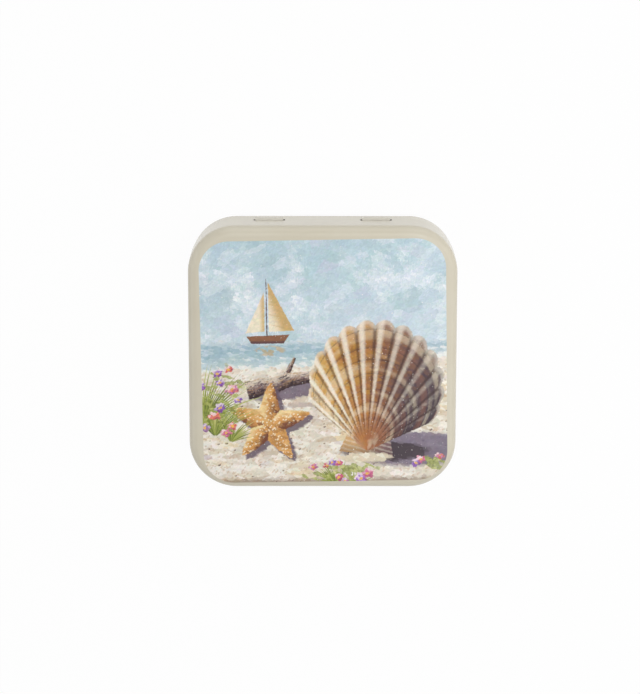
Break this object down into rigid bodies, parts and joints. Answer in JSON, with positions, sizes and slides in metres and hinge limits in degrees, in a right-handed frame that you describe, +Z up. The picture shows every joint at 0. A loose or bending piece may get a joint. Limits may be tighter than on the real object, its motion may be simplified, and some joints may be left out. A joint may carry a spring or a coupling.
{
  "type": "sewing tin",
  "caption": "Small square tin with rounded corners for sewing things, cream with a seaside print on the lid, which swings up on rolled knuckles at the back.",
  "frame": {"origin": "on the table, under the middle of the closed tin's box, hinge knuckles included", "axes": "+Z up out of the lid, +Y towards the hinges at the back, +X to the right seen from the front"},
  "size_m": [0.062, 0.0626, 0.017],
  "materials": {
    "base_lacquer": "glossy cream lacquer inside and out, bare steel at the cut edge",
    "lid_lacquer": "glossy cream lacquer inside and out, with a printed picture on the top, bare steel at the cut edge"
  },
  "bodies": {
    "base": {"tin_base": "base_lacquer"},
    "lid": {"tin_lid": "lid_lacquer"}
  },
  "joints": [
    {"name": "lid_hinge", "type": "hinge", "parent": "base", "child": "lid", "pos_m": [0, 0.03013, 0.0076], "axis": [-1, 0, 0], "range_deg": [0, 115]}
  ]
}
